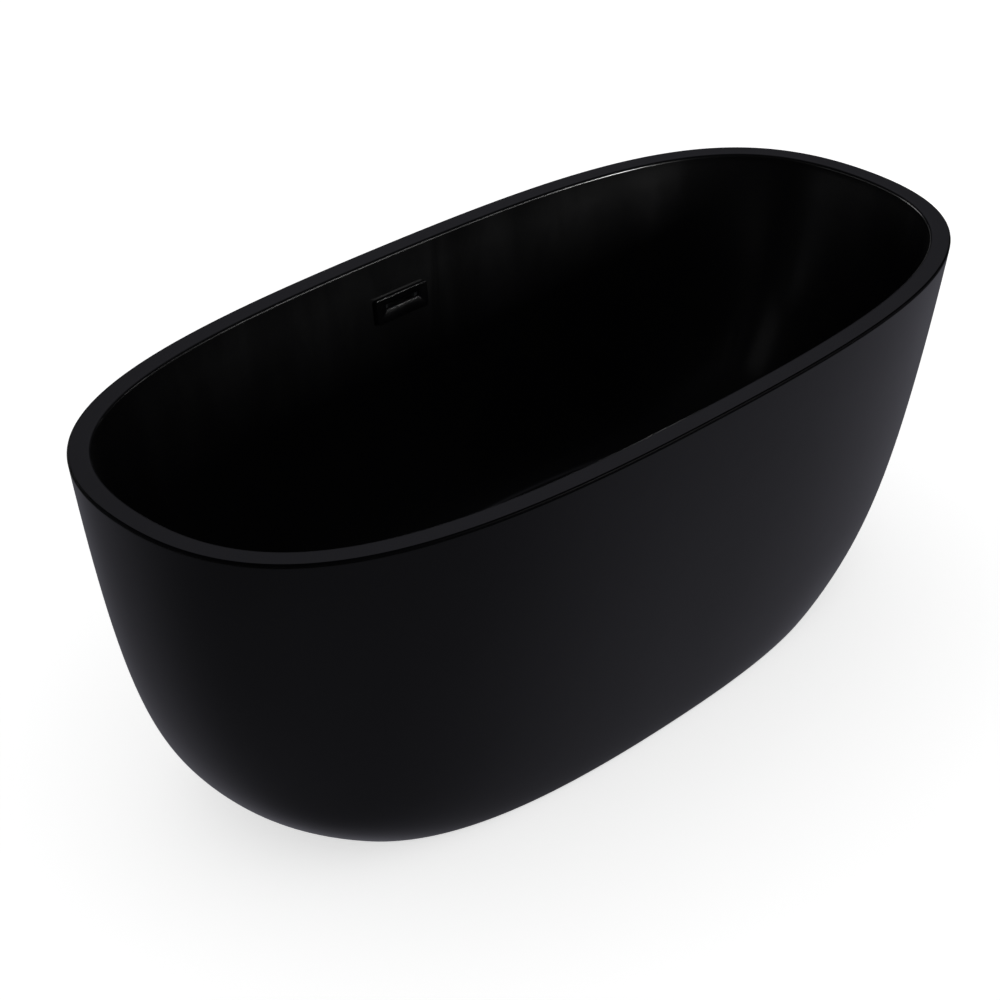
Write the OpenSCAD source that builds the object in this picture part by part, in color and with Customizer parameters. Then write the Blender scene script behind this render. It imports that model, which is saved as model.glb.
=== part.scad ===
// Freestanding oval bathtub: two bonded acrylic shells on a steel frame with levelling feet,
// a push plug drain and a slim overflow. Millimetres, +X along the tub, +Y towards the overflow
// wall, +Z up, origin on the floor under the middle.

/* [Overall] */
// Length over the rim
rim_length = 1500; // [1450:10:1600]
// Width over the rim
rim_width = 700; // [690:5:740]
// Height of the rim above the floor
tub_height = 580; // [570:5:600]
// Length of the outer shell where it meets the floor
base_length = 1073; // [1040:1:1100]
// Width of the outer shell where it meets the floor
base_width = 524; // [520:1:540]
// Gap between the outer shell and the floor
skirt_gap = 5; // [4.5:0.5:8]

/* [Shells] */
// Width of the flat rim, outer edge to inner edge
rim_flat = 32; // [32:1:40]
// Thickness of the acrylic
shell = 5; // [4:0.5:5.5]
// Thickness of the rim
rim_thick = 4; // [3.5:0.5:5]
// Radius of the rim's outer edge
edge_outer = 2; // [1.5:0.5:2.5]
// Radius of the rim's inner edge
edge_inner = 5; // [4:0.5:6]
// Height of the sealed seam between the rim and the outer shell
seam_height = 1.2; // [0.8:0.1:1.5]
// Width of the outer shell's top flange, which the rim is bonded to
top_flange = 20; // [16:1:22]
// Width of the flange turned in at the foot of the outer shell
flange_width = 32; // [28:1:36]

/* [Basin] */
// Height of the floor's underside
floor_bottom = 127; // [127:1:128]
// Height of the floor at the drain
floor_drain = 134; // [134:1:136]
// Rise of the floor from the drain to the walls
floor_fall = 4; // [3:1:6]
// Half length of the flat floor
floor_half_length = 445; // [430:1:450]
// Half width of the flat floor
floor_half_width = 190; // [185:1:192]
// Radius of the drain hole
drain_hole_r = 25; // [24.5:0.5:26]
// Radius of the seat sunk around the drain hole
seat_r = 36; // [36:0.5:40]
// Depth of that seat
seat_depth = 3; // [2.5:0.5:3]

/* [Board and frame] */
// Length of the board under the floor
board_length = 840; // [800:5:860]
// Width of the board
board_width = 350; // [330:5:356]
// Thickness of the board
board_thick = 18; // [15:1:18]
// Outside size of the square steel tube
tube = 30; // [28:1:30]
// Wall of the steel tube
tube_wall = 2; // [1.5:0.5:2.5]
// Half length of the two long rails
rail_half = 400; // [390:5:410]
// Distance of each long rail from the middle
rail_y = 140; // [136:1:144]
// Distance of the outer cross bars from the middle
cross_outer = 335; // [320:5:340]
// Distance of the inner cross bars from the middle
cross_inner = 120; // [100:5:150]
// Distance of the skirt brackets from the middle
bracket_x = 200; // [180:5:240]

/* [Feet] */
// Distance of the feet from the middle, along the tub
foot_x = 375; // [370:1:380]
// Radius of the screwed stud
stud_r = 6; // [5:0.5:6]
// Radial clearance where the stud turns
turn_gap = 0.05; // [0.02:0.01:0.08]
// Radius of the foot pad
pad_r = 24; // [20:1:28]
// Thickness of the rubber sole
sole_thick = 3; // [2:0.5:4]

/* [Drain] */
// Radius of the drain flange
flange_r = 35; // [34:0.5:35.5]
// Outer radius of the flange's screwed tail
tail_r = 24; // [23:0.5:24]
// Outer radius of the outlet pipe
outlet_r = 20; // [19:0.5:20]
// Height of the hose inlet on the drain body
inlet_z = 60; // [58:1:62]
// Rise of the plug from closed to open, used for the spring
plug_lift = 9; // [7:1:10]

/* [Overflow] */
// Width of the overflow cover
cover_w = 104; // [96:1:110]
// Height of the overflow cover
cover_h = 40; // [38:1:44]
// How far the cover stands off the wall
cover_d = 7; // [6:0.5:9]
// Width of the slot in the cover
slot_w = 66; // [60:1:70]
// Height of the slot
slot_h = 7; // [6:0.5:9]
// Height of the middle of the cover above the floor
overflow_z = 498; // [490:1:505]
// Outer radius of the overflow hose
hose_r = 8.5; // [8.25:0.25:8.75]

/* [Hidden] */
eps = 0.01;
quarter_pts = 24;
ring_pts = 4 * quarter_pts;
a_rim = rim_length / 2;
b_rim = rim_width / 2;
a_base = base_length / 2;
b_base = base_width / 2;

// Shape of the plan outline at the rim and at the floor, and of a circle
rim_uv = [0.603, 0.885];
base_uv = [0.668, 0.796];
round_uv = [0.5523, 0.5523];

// Profiles of the outer shell: half size and height, from the floor to the rim
end_curve = [[a_base, 0], [a_base + 0.605 * (a_rim - a_base), 0.149 * tub_height],
    [a_rim - 0.071 * tub_height, 0.26 * tub_height], [a_rim, tub_height]];
side_curve = [[b_base, 0], [b_base + 0.22 * (b_rim - b_base), 0],
    [b_rim - 0.035 * tub_height, 0.646 * tub_height], [b_rim, tub_height]];

// Profiles of the basin's inner face, from the rim's inner edge to the floor
wall_top = tub_height - edge_inner;
floor_edge = floor_drain + floor_fall;
wall_zs = [wall_top, 0.67 * wall_top + 0.33 * floor_edge, floor_edge, floor_edge];
wall_as = [a_rim - rim_flat, a_rim - rim_flat - 26, a_rim - rim_flat - 103, floor_half_length];
wall_bs = [b_rim - rim_flat, b_rim - rim_flat - 12, b_rim - rim_flat - 56, floor_half_width];

board_bottom = floor_bottom - board_thick;
rail_bottom = board_bottom - tube;
seam_top = tub_height - rim_thick;
seam_bottom = seam_top - seam_height;

drain_seat = floor_drain - seat_depth;
flange_bottom = drain_seat + 1.5;
flange_top = flange_bottom + 3;
body_top = floor_bottom - 4;
chamber_bottom = inlet_z - 12;
barrel_r = 6;
stem_r = 3.5;
barrel_bottom = 98;

// The overflow parts share one tilted frame lying on the wall
function bez(p, t) = pow(1 - t, 3) * p[0] + 3 * pow(1 - t, 2) * t * p[1]
    + 3 * (1 - t) * t * t * p[2] + t * t * t * p[3];
wall_t = solve(wall_zs, overflow_z, 0, 1, 24);
wall_y = bez(wall_bs, wall_t);
wall_y_next = bez(wall_bs, wall_t + 0.01);
wall_z_next = bez(wall_zs, wall_t + 0.01);
tilt = atan2(wall_y - wall_y_next, overflow_z - wall_z_next);
hose_tilt = 8.6;
hose_top_y = wall_y + 13.4;
hose_top_z = overflow_z - 26;
hose_bend = 50;

// Value of t where a falling curve reaches z
function solve(p, z, lo, hi, n) = n == 0 ? (lo + hi) / 2
    : bez(p, (lo + hi) / 2) > z ? solve(p, z, (lo + hi) / 2, hi, n - 1)
    : solve(p, z, lo, (lo + hi) / 2, n - 1);

// ---- outlines and closed rings ----

function flip(r) = [for (p = r) [p[1], p[0]]];
end_table = flip([for (i = [0:60]) bez(end_curve, i / 60)]);
side_table = flip([for (i = [0:60]) bez(side_curve, i / 60)]);
function half_a(z) = lookup(z, end_table);
function half_b(z) = lookup(z, side_table);
function mix(p, q, t) = p * (1 - t) + q * t;
function outer_uv(z) = mix(base_uv, rim_uv, z / tub_height);

// A point of the outline's quarter with half sizes a and b
function quarter(a, b, uv, t) = [bez([a, a, uv[0] * a, 0], t), bez([0, uv[1] * b, b, b], t)];
function outline(a, b, uv) = [for (i = [0:ring_pts - 1])
    let (q = floor(i / quarter_pts), s = (i % quarter_pts) / quarter_pts,
        p = quarter(a, b, uv, q % 2 == 0 ? s : 1 - s))
    [q == 0 || q == 3 ? p[0] : -p[0], q < 2 ? p[1] : -p[1]]];

// The same outline moved outwards by d
function moved(r, d) = let (n = len(r)) [for (i = [0:n - 1])
    let (g = r[(i + 1) % n] - r[(i + n - 1) % n]) r[i] + d * [g[1], -g[0]] / norm(g)];
function at_z(r, z) = [for (p = r) [p[0], p[1], z]];

// A closed band of rings, each ring joined to the next and the last to the first
module rings_solid(rings) {
    m = len(rings);
    n = len(rings[0]);
    points = [for (r = rings) each r];
    faces = [for (j = [0:m - 1]) for (i = [0:n - 1])
        let (k = (j + 1) % m, l = (i + 1) % n)
        each [[j * n + i, k * n + l, j * n + l], [j * n + i, k * n + i, k * n + l]]];
    polyhedron(points, faces, convexity = 10);
}

// ---- shells ----

function outer_ring(z, d) = at_z(moved(outline(half_a(z), half_b(z), outer_uv(z)), d), z);
function slope(f_hi, f_lo, dz) = sqrt(1 + pow((f_hi - f_lo) / dz, 2));
function inner_ring(z) = at_z(outline(
    half_a(z) - shell * slope(half_a(z + 4), half_a(z - 4), 8),
    half_b(z) - shell * slope(half_b(z + 4), half_b(z - 4), 8), outer_uv(z)), z);

wall_steps = [0.08, 0.17, 0.27, 0.37, 0.47, 0.57, 0.67, 0.77, 0.88, 1];
function wall_uv(t) = mix(rim_uv, base_uv, t);
function wall_ring(t, d, dz) = at_z(moved(outline(bez(wall_as, t) + rim_flat,
    bez(wall_bs, t) + rim_flat, wall_uv(t)), d - rim_flat), bez(wall_zs, t) - dz);
function floor_ring(q, z) = at_z(moved(outline(
    mix(floor_half_length, seat_r, q) + rim_flat, mix(floor_half_width, seat_r, q) + rim_flat,
    mix(base_uv, round_uv, q)), -rim_flat), z);
function round_ring(r, z) = at_z(outline(r, r, round_uv), z);

basin_inside = concat(
    [outer_ring(seam_top, 0), outer_ring(tub_height - edge_outer, 0)],
    [for (a = [30, 60]) outer_ring(tub_height - edge_outer + edge_outer * sin(a),
        -edge_outer * (1 - cos(a)))],
    [outer_ring(tub_height, -edge_outer), outer_ring(tub_height, -rim_flat + edge_inner)],
    [for (a = [30, 60]) at_z(moved(outline(a_rim, b_rim, rim_uv),
        -rim_flat + edge_inner * (1 - sin(a))), wall_top + edge_inner * cos(a))],
    [wall_ring(0, 0, 0)],
    [for (t = wall_steps) wall_ring(t, 0, 0)],
    [for (q = [0.35, 0.7]) floor_ring(q, mix(floor_edge, floor_drain, q))],
    [round_ring(seat_r, floor_drain), round_ring(seat_r, drain_seat),
        round_ring(drain_hole_r, drain_seat)]);
basin_outside = concat(
    [round_ring(drain_hole_r, floor_bottom)],
    [for (q = [0.8, 0.4, 0]) floor_ring(q, floor_bottom)],
    [for (i = [len(wall_steps) - 2:-1:0]) let (t = wall_steps[i])
        wall_ring(t, shell * sqrt(1 - t * t * t), shell * pow(t, 1.5)
            + (floor_edge - floor_bottom - shell) * pow(t, 4))],
    [wall_ring(0, shell, 2), outer_ring(seam_top, -rim_flat + shell + 3)]);

module basin() {
    color("#17181b")
        difference() {
            rings_solid(concat(basin_inside, basin_outside));
            on_wall() {
                translate([-30, -8, -7])
                    cube([60, shell + 16, 22]);
                for (x = [-38, 38])
                    translate([x, -8, 4])
                        rotate([-90, 0, 0])
                            cylinder(r = 2.2, h = shell + 16, $fn = 32);
            }
        }
}

skirt_zs = [skirt_gap, 14, 26, 40, 58, 82, 112, 150, 200, 260, 330, 410, 490, seam_bottom];
module skirt() {
    n = len(skirt_zs);
    color("#1b1c1f")
        difference() {
            rings_solid(concat(
                [for (z = skirt_zs) outer_ring(z, 0)],
                [outer_ring(seam_bottom, -top_flange), outer_ring(seam_bottom - shell, -top_flange),
                    inner_ring(seam_bottom - shell)],
                [for (i = [n - 2:-1:1]) inner_ring(skirt_zs[i])],
                [inner_ring(skirt_gap + shell),
                    outer_ring(skirt_gap + shell, -flange_width - shell),
                    outer_ring(skirt_gap, -flange_width - shell)]));
            at_brackets()
                translate([0, 236, skirt_gap - 1])
                    cylinder(r = 2, h = shell + 2, $fn = 32);
        }
}

module rim_seam() {
    color("#0d0d0e")
        rings_solid([outer_ring(seam_bottom, -1), outer_ring(seam_top, -1),
            outer_ring(seam_top, 1 - top_flange), outer_ring(seam_bottom, 1 - top_flange)]);
}

// ---- board and frame ----

module rounded(w, h, r) {
    square([w - 2 * r, h], center = true);
    square([w, h - 2 * r], center = true);
    for (x = [-1, 1])
        for (y = [-1, 1])
            translate([x * (w / 2 - r), y * (h / 2 - r)])
                circle(r, $fn = 48);
}

module at_frame_screws() {
    for (x = [-300, -160, 160, 300])
        for (y = [-rail_y, rail_y])
            translate([x, y, 0])
                children();
}

module base_board() {
    color("#b98f5a")
        difference() {
            translate([0, 0, board_bottom])
                linear_extrude(board_thick)
                    rounded(board_length, board_width, 80);
            translate([0, 0, board_bottom - 1])
                cylinder(r = 52, h = board_thick + 2, $fn = 96);
            at_frame_screws()
                translate([0, 0, board_bottom - 1])
                    cylinder(r = 2.2, h = 14, $fn = 24);
        }
}

module box_tube(length) {
    difference() {
        translate([-length / 2, -tube / 2, 0])
            cube([length, tube, tube]);
        translate([-length / 2 - 1, -tube / 2 + tube_wall, tube_wall])
            cube([length + 2, tube - 2 * tube_wall, tube - 2 * tube_wall]);
    }
}

module rail(side) {
    color("#8d9296")
        difference() {
            translate([0, side * rail_y, rail_bottom])
                box_tube(2 * rail_half);
            for (x = [-foot_x, foot_x])
                translate([x, side * rail_y, rail_bottom - 1])
                    cylinder(r = stud_r + 0.5, h = tube_wall + 2, $fn = 48);
            at_frame_screws()
                translate([0, 0, rail_bottom - 1])
                    cylinder(r = 2.4, h = tube + 2, $fn = 24);
            for (x = [-bracket_x, bracket_x])
                for (dx = [-8, 8])
                    translate([x + dx, side * (rail_y + tube / 2 - 4), rail_bottom + 15])
                        rotate([-90 * side, 0, 0])
                            cylinder(r = 2.5, h = 5, $fn = 24);
        }
}

module cross_bar(x) {
    color("#8d9296")
        translate([x, 0, rail_bottom])
            rotate([0, 0, 90])
                box_tube(2 * rail_y - tube - 0.2);
}

module frame_screws() {
    color("#c3c6c9")
        at_frame_screws() {
            translate([0, 0, rail_bottom - 3])
                cylinder(r = 5, h = 3, $fn = 24);
            translate([0, 0, rail_bottom - eps])
                cylinder(r = 2.2, h = tube + 12, $fn = 24);
        }
}

module at_brackets() {
    for (x = [-bracket_x, bracket_x])
        for (s = [-1, 1])
            translate([x, 0, 0])
                scale([1, s, 1])
                    children();
}

// An angle of flat steel from the rail's side down to the flange of the outer shell
module skirt_bracket(x, side) {
    face = rail_y + tube / 2;
    foot = skirt_gap + shell;
    color("#a4a8ab")
        difference() {
            translate([x, 0, 0])
                scale([1, side, 1])
                    translate([-16, 0, 0]) {
                        translate([0, face, foot])
                            cube([32, 3, rail_bottom + 26 - foot]);
                        translate([0, face, foot])
                            cube([32, 248 - face, 3]);
                    }
            for (dx = [-8, 8])
                translate([x + dx, side * (face - 1), rail_bottom + 15])
                    rotate([-90 * side, 0, 0])
                        cylinder(r = 2.5, h = 5, $fn = 24);
            translate([x, side * 236, foot - 1])
                cylinder(r = 2.5, h = 5, $fn = 24);
        }
}

module bracket_bolts() {
    color("#c3c6c9")
        for (x = [-bracket_x, bracket_x])
            for (s = [-1, 1])
                for (dx = [-8, 8])
                    translate([x + dx, s * (rail_y + tube / 2 + 3), rail_bottom + 15])
                        rotate([-90 * s, 0, 0]) {
                            cylinder(r = 4.6, h = 3.2, $fn = 6);
                            translate([0, 0, -12])
                                cylinder(r = 2.5, h = 12 + eps, $fn = 24);
                        }
}

module flange_screws() {
    color("#c3c6c9")
        at_brackets()
            translate([0, 236, 0]) {
                translate([0, 0, skirt_gap + shell + 3])
                    cylinder(r = 4.5, h = 2.6, $fn = 24);
                translate([0, 0, skirt_gap + 0.3])
                    cylinder(r = 2, h = shell + 3, $fn = 24);
            }
}

// ---- feet ----

foot_spots = [[-foot_x, -rail_y], [foot_x, -rail_y], [-foot_x, rail_y], [foot_x, rail_y]];
module at_foot(i) {
    translate([foot_spots[i][0], foot_spots[i][1], 0])
        children();
}

// Stud with a collar held in the pad and a hexagon to turn it by
module foot_stud(i) {
    color("#b9bdc1")
        at_foot(i) {
            translate([0, 0, sole_thick + 3.2])
                cylinder(r = stud_r + 2, h = 4, $fn = 48);
            translate([0, 0, sole_thick + 3.2])
                cylinder(r = stud_r, h = 90, $fn = 48);
            translate([0, 0, sole_thick + 14])
                cylinder(r = stud_r + 4, h = 6, $fn = 6);
        }
}

module foot_pad(i) {
    z = sole_thick;
    color("#26282b")
        at_foot(i)
            rotate_extrude($fn = 64)
                polygon([[0, z], [pad_r, z], [pad_r, z + 3], [pad_r - 4, z + 5], [13, z + 6],
                    [11, z + 12], [stud_r + turn_gap, z + 12], [stud_r + turn_gap, z + 7.4],
                    [stud_r + 2 + turn_gap, z + 7.4], [stud_r + 2 + turn_gap, z + 3], [0, z + 3]]);
}

module foot_sole(i) {
    color("#141415")
        at_foot(i)
            rotate_extrude($fn = 64)
                polygon([[0, 0], [pad_r, 0], [pad_r + 1, 1], [pad_r + 1, sole_thick],
                    [0, sole_thick]]);
}

module hex_nut(z, h) {
    translate([0, 0, z])
        difference() {
            cylinder(r = stud_r + 4.4, h = h, $fn = 6);
            translate([0, 0, -1])
                cylinder(r = stud_r + turn_gap, h = h + 2, $fn = 48);
        }
}

module weld_nuts() {
    color("#9a9fa3")
        for (i = [0:3])
            at_foot(i)
                hex_nut(rail_bottom - 10, 10);
}

module lock_nuts() {
    color("#c3c6c9")
        for (i = [0:3])
            at_foot(i)
                hex_nut(rail_bottom - 16.2, 6);
}

// ---- drain ----

module drain_flange() {
    color("#d7dadd")
        union() {
            rotate_extrude($fn = 96)
                polygon([[tail_r - 4, 86], [tail_r, 86], [tail_r, flange_bottom],
                    [flange_r, flange_bottom], [flange_r, flange_top - 1.6],
                    [flange_r - 1.5, flange_top - 0.4], [flange_r - 4, flange_top],
                    [tail_r + 1, flange_top - 0.3], [tail_r - 4, flange_top - 4]]);
            difference() {
                for (a = [0, 90])
                    rotate([0, 0, a])
                        translate([-tail_r + 3, -1.5, 90])
                            cube([2 * tail_r - 6, 3, 6]);
                translate([0, 0, 80])
                    cylinder(r = 2.5, h = 30, $fn = 32);
            }
        }
}

module ring(r_in, r_out, z, h) {
    translate([0, 0, z])
        difference() {
            cylinder(r = r_out, h = h, $fn = 96);
            translate([0, 0, -1])
                cylinder(r = r_in, h = h + 2, $fn = 96);
        }
}

module flange_seal() {
    color("#101011")
        ring(drain_hole_r, flange_r - 1, drain_seat, 1.5);
}

module under_seal() {
    color("#101011")
        ring(tail_r + 0.2, 38, body_top, 4);
}

// Body under the floor: screwed seat at the top, hose inlet at the side, outlet below
module drain_body() {
    color("#2a2c2f")
        difference() {
            union() {
                rotate_extrude($fn = 96)
                    polygon([[0, chamber_bottom - 2], [27, chamber_bottom - 2], [28, chamber_bottom],
                        [28, body_top - 5], [38, body_top - 4], [38, body_top], [0, body_top]]);
                translate([0, 24, inlet_z])
                    rotate([-90, 0, 0])
                        cylinder(r = 7, h = 36, $fn = 48);
            }
            translate([0, 0, 86])
                cylinder(r = tail_r, h = 60, $fn = 96);
            translate([0, 0, chamber_bottom + 4])
                cylinder(r = 21, h = 60, $fn = 96);
            translate([0, 0, chamber_bottom - 4])
                cylinder(r = outlet_r - 0.4, h = 20, $fn = 96);
            translate([0, 0, inlet_z])
                rotate([-90, 0, 0])
                    cylinder(r = 5, h = 80, $fn = 48);
        }
}

module outlet_washer() {
    color("#101011")
        ring(outlet_r - 0.4, 25, chamber_bottom - 5, 3);
}

module outlet_nut() {
    z = chamber_bottom - 14;
    color("#33363a")
        difference() {
            translate([0, 0, z])
                cylinder(r = 33, h = 16, $fn = 12);
            translate([0, 0, z + 9])
                cylinder(r = 28, h = 20, $fn = 96);
            translate([0, 0, z - 1])
                cylinder(r = outlet_r - 0.4, h = 20, $fn = 96);
            translate([0, 0, z + 9])
                cylinder(r = 25, h = 3, $fn = 96);
        }
}

module outlet_pipe() {
    top = chamber_bottom - 14;
    color("#c9ccd0")
        rotate_extrude($fn = 96)
            polygon([[outlet_r - 2.2, 4], [outlet_r, 4], [outlet_r, top],
                [outlet_r - 0.4, top], [outlet_r - 0.4, chamber_bottom + 3],
                [outlet_r - 2.2, chamber_bottom + 3]]);
}

// ---- plug ----

module plug_cap() {
    z = flange_top + 1.5;
    color("#dfe1e4")
        rotate_extrude($fn = 96)
            polygon([[0, z + 2], [25, z + 2], [28, z], [31, z], [31.5, z + 1.2],
                [30.5, z + 3], [27, z + 4.4], [20, z + 5.6], [10, z + 6.3], [0, z + 6.5]]);
}

module plug_seal() {
    color("#101011")
        rotate_extrude($fn = 96)
            polygon([[19, flange_top - 3.2], [20.2, flange_top - 3.2], [24, flange_top - 0.3],
                [24.4, flange_top + 3.5], [19, flange_top + 3.5]]);
}

module plug_stem() {
    color("#b9bdc1")
        union() {
            translate([0, 0, flange_top - 3])
                cylinder(r = 19, h = 6.5, $fn = 96);
            translate([0, 0, 105])
                cylinder(r = stem_r, h = flange_top - 2 - 105, $fn = 48);
        }
}

module plug_barrel() {
    color("#c7c9a0")
        difference() {
            union() {
                translate([0, 0, 96])
                    cylinder(r = barrel_r, h = 26, $fn = 48);
                translate([0, 0, 88])
                    cylinder(r = 2.5, h = 9, $fn = 32);
            }
            translate([0, 0, barrel_bottom])
                cylinder(r = stem_r + turn_gap, h = 30, $fn = 48);
        }
}

// A coil of wire as a swept ring of short straight pieces
module coil(r, wire, turns, z0, z1) {
    seg = 14;
    sides = 6;
    steps = turns * seg;
    points = [for (i = [0:steps]) for (j = [0:sides - 1])
        let (a = 360 * i / seg, b = 360 * j / sides)
        [(r + wire * cos(b)) * cos(a), (r + wire * cos(b)) * sin(a),
            mix(z0, z1, i / steps) + wire * sin(b)]];
    ends = [[for (j = [sides - 1:-1:0]) j],
        [for (j = [0:sides - 1]) steps * sides + j]];
    faces = [for (i = [0:steps - 1]) for (j = [0:sides - 1])
        let (k = (j + 1) % sides)
        each [[i * sides + j, i * sides + k, (i + 1) * sides + k],
            [i * sides + j, (i + 1) * sides + k, (i + 1) * sides + j]]];
    polyhedron(points, concat(faces, ends), convexity = 8);
}

module plug_spring() {
    color("#d5d8da")
        coil(2.6, 0.4, 4, barrel_bottom + 0.45, 104.4);
}

// ---- overflow ----

module on_wall() {
    translate([0, wall_y, overflow_z])
        rotate([-tilt, 0, 0])
            children();
}

// A plate on the wall: width, height, corner radius, and from depth d0 to d1
module wall_plate(w, h, r, d0, d1) {
    translate([0, d0, 0])
        rotate([-90, 0, 0])
            linear_extrude(d1 - d0)
                rounded(w, h, r);
}

module overflow_cover() {
    color("#17181b")
        on_wall()
            difference() {
                wall_plate(cover_w, cover_h, 3, -cover_d, -0.8);
                wall_plate(cover_w - 4, cover_h - 4, 1.5, -cover_d + 2, 1);
                translate([-slot_w / 2, -cover_d - 1, 5.5 - slot_h / 2])
                    cube([slot_w, 4, slot_h]);
            }
}

module overflow_core() {
    color("#26282b")
        on_wall()
            difference() {
                union() {
                    wall_plate(cover_w - 4.4, cover_h - 4.4, 1.4, -2.9, -0.7);
                    translate([-29.5, -2.9, -6.5])
                        cube([59, shell + 6.9, 21]);
                }
                translate([-27.5, -4, -4.5])
                    cube([55, shell + 10, 17]);
                for (x = [-38, 38])
                    translate([x, -4, 4])
                        rotate([-90, 0, 0])
                            cylinder(r = 2.2, h = 6, $fn = 32);
            }
}

module overflow_screws() {
    color("#c3c6c9")
        on_wall()
            for (x = [-38, 38])
                translate([x, -4.8, 4])
                    rotate([-90, 0, 0]) {
                        cylinder(r = 3.8, h = 1.9, $fn = 32);
                        cylinder(r = 2, h = shell + 12, $fn = 32);
                    }
}

module overflow_seal() {
    color("#101011")
        on_wall()
            difference() {
                wall_plate(88, 38, 3, shell + 0.6, shell + 2.4);
                translate([-29.7, 0, -6.7])
                    cube([59.4, 20, 21.4]);
                for (x = [-38, 38])
                    translate([x, 0, 4])
                        rotate([-90, 0, 0])
                            cylinder(r = 2.2, h = 20, $fn = 32);
            }
}

module hose_frame() {
    translate([0, hose_top_y, hose_top_z])
        rotate([-hose_tilt, 0, 0])
            children();
}

// Slim box behind the wall with a spigot for the hose
module overflow_body() {
    color("#2a2c2f")
        difference() {
            union() {
                on_wall()
                    wall_plate(88, 38, 3, shell + 2.4, shell + 17.4);
                hose_frame()
                    translate([0, 0, -14])
                        cylinder(r = 7, h = 24, $fn = 48);
            }
            on_wall() {
                translate([-29.5, 0, -6.5])
                    cube([59, shell + 8, 21]);
                translate([-31, shell + 4.4, -15])
                    cube([62, 11, 30]);
                for (x = [-38, 38])
                    translate([x, 0, 4])
                        rotate([-90, 0, 0])
                            cylinder(r = 2, h = shell + 10, $fn = 32);
            }
            hose_frame()
                translate([0, 0, -15])
                    cylinder(r = 5, h = 30, $fn = 48);
        }
}

// Hose: a straight run down between the shells, a bend with a collar at each end, and a level
// run to the drain body
hose_turn = 90 - hose_tilt;
hose_level_top = inlet_z + hose_bend * (1 - sin(hose_tilt));
hose_run = (hose_top_z - hose_level_top) / cos(hose_tilt);
hose_bend_y = hose_top_y - hose_run * sin(hose_tilt) - hose_bend * cos(hose_tilt);
hose_end_y = 32;

module overflow_hose() {
    color("#3a3d41") {
        hose_frame()
            translate([0, 0, -hose_run]) {
                ring(7, hose_r, 0, hose_run);
                ring(7.5, hose_r + 0.5, -3, 6);
            }
        translate([0, hose_bend_y, inlet_z + hose_bend])
            rotate([90, 0, 90])
                rotate([0, 0, -90])
                    rotate_extrude(angle = hose_turn, $fn = 96)
                        translate([hose_bend, 0])
                            difference() {
                                circle(hose_r, $fn = 96);
                                circle(7, $fn = 96);
                            }
        translate([0, hose_end_y, inlet_z])
            rotate([-90, 0, 0]) {
                ring(7, hose_r, 0, hose_bend_y - hose_end_y);
                ring(7.5, hose_r + 0.5, hose_bend_y - hose_end_y - 3, 6);
            }
    }
}

// Worm-drive band: a ring, its screw housing and the screw
module clamp() {
    difference() {
        union() {
            cylinder(r = hose_r + 0.8, h = 9, $fn = 96);
            translate([-5, hose_r - 1, 0.5])
                cube([10, 5, 8]);
            translate([-8, hose_r + 2.4, 4.5])
                rotate([0, 90, 0])
                    cylinder(r = 2.6, h = 5, $fn = 6);
        }
        translate([0, 0, -1])
            cylinder(r = hose_r, h = 11, $fn = 96);
    }
}

module hose_clamp_top() {
    color("#c3c6c9")
        hose_frame()
            translate([0, 0, -12])
                rotate([0, 0, 90])
                    clamp();
}

module hose_clamp_bottom() {
    color("#c3c6c9")
        translate([0, 44, inlet_z])
            rotate([-90, 0, 0])
                clamp();
}

// ---- one line per sub-part ----

basin();
skirt();
rim_seam();
base_board();
rail(-1);  // rail_front
rail(1);  // rail_back
cross_bar(-cross_outer);  // cross_bar_1
cross_bar(-cross_inner);  // cross_bar_2
cross_bar(cross_inner);  // cross_bar_3
cross_bar(cross_outer);  // cross_bar_4
frame_screws();
skirt_bracket(-bracket_x, -1);  // skirt_bracket_1
skirt_bracket(bracket_x, -1);  // skirt_bracket_2
skirt_bracket(-bracket_x, 1);  // skirt_bracket_3
skirt_bracket(bracket_x, 1);  // skirt_bracket_4
bracket_bolts();
flange_screws();
foot_stud(0);  // foot_stud_1
foot_stud(1);  // foot_stud_2
foot_stud(2);  // foot_stud_3
foot_stud(3);  // foot_stud_4
foot_pad(0);  // foot_pad_1
foot_pad(1);  // foot_pad_2
foot_pad(2);  // foot_pad_3
foot_pad(3);  // foot_pad_4
foot_sole(0);  // foot_sole_1
foot_sole(1);  // foot_sole_2
foot_sole(2);  // foot_sole_3
foot_sole(3);  // foot_sole_4
weld_nuts();
lock_nuts();
drain_flange();
flange_seal();
under_seal();
drain_body();
outlet_washer();
outlet_nut();
outlet_pipe();
plug_cap();
plug_seal();
plug_stem();
plug_barrel();
plug_spring();
overflow_cover();
overflow_core();
overflow_screws();
overflow_seal();
overflow_body();
overflow_hose();
hose_clamp_top();
hose_clamp_bottom();
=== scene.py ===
"""Looks of the freestanding bathtub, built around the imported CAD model."""
import math

import bpy
import numpy as np
from mathutils import Matrix, Vector


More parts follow.
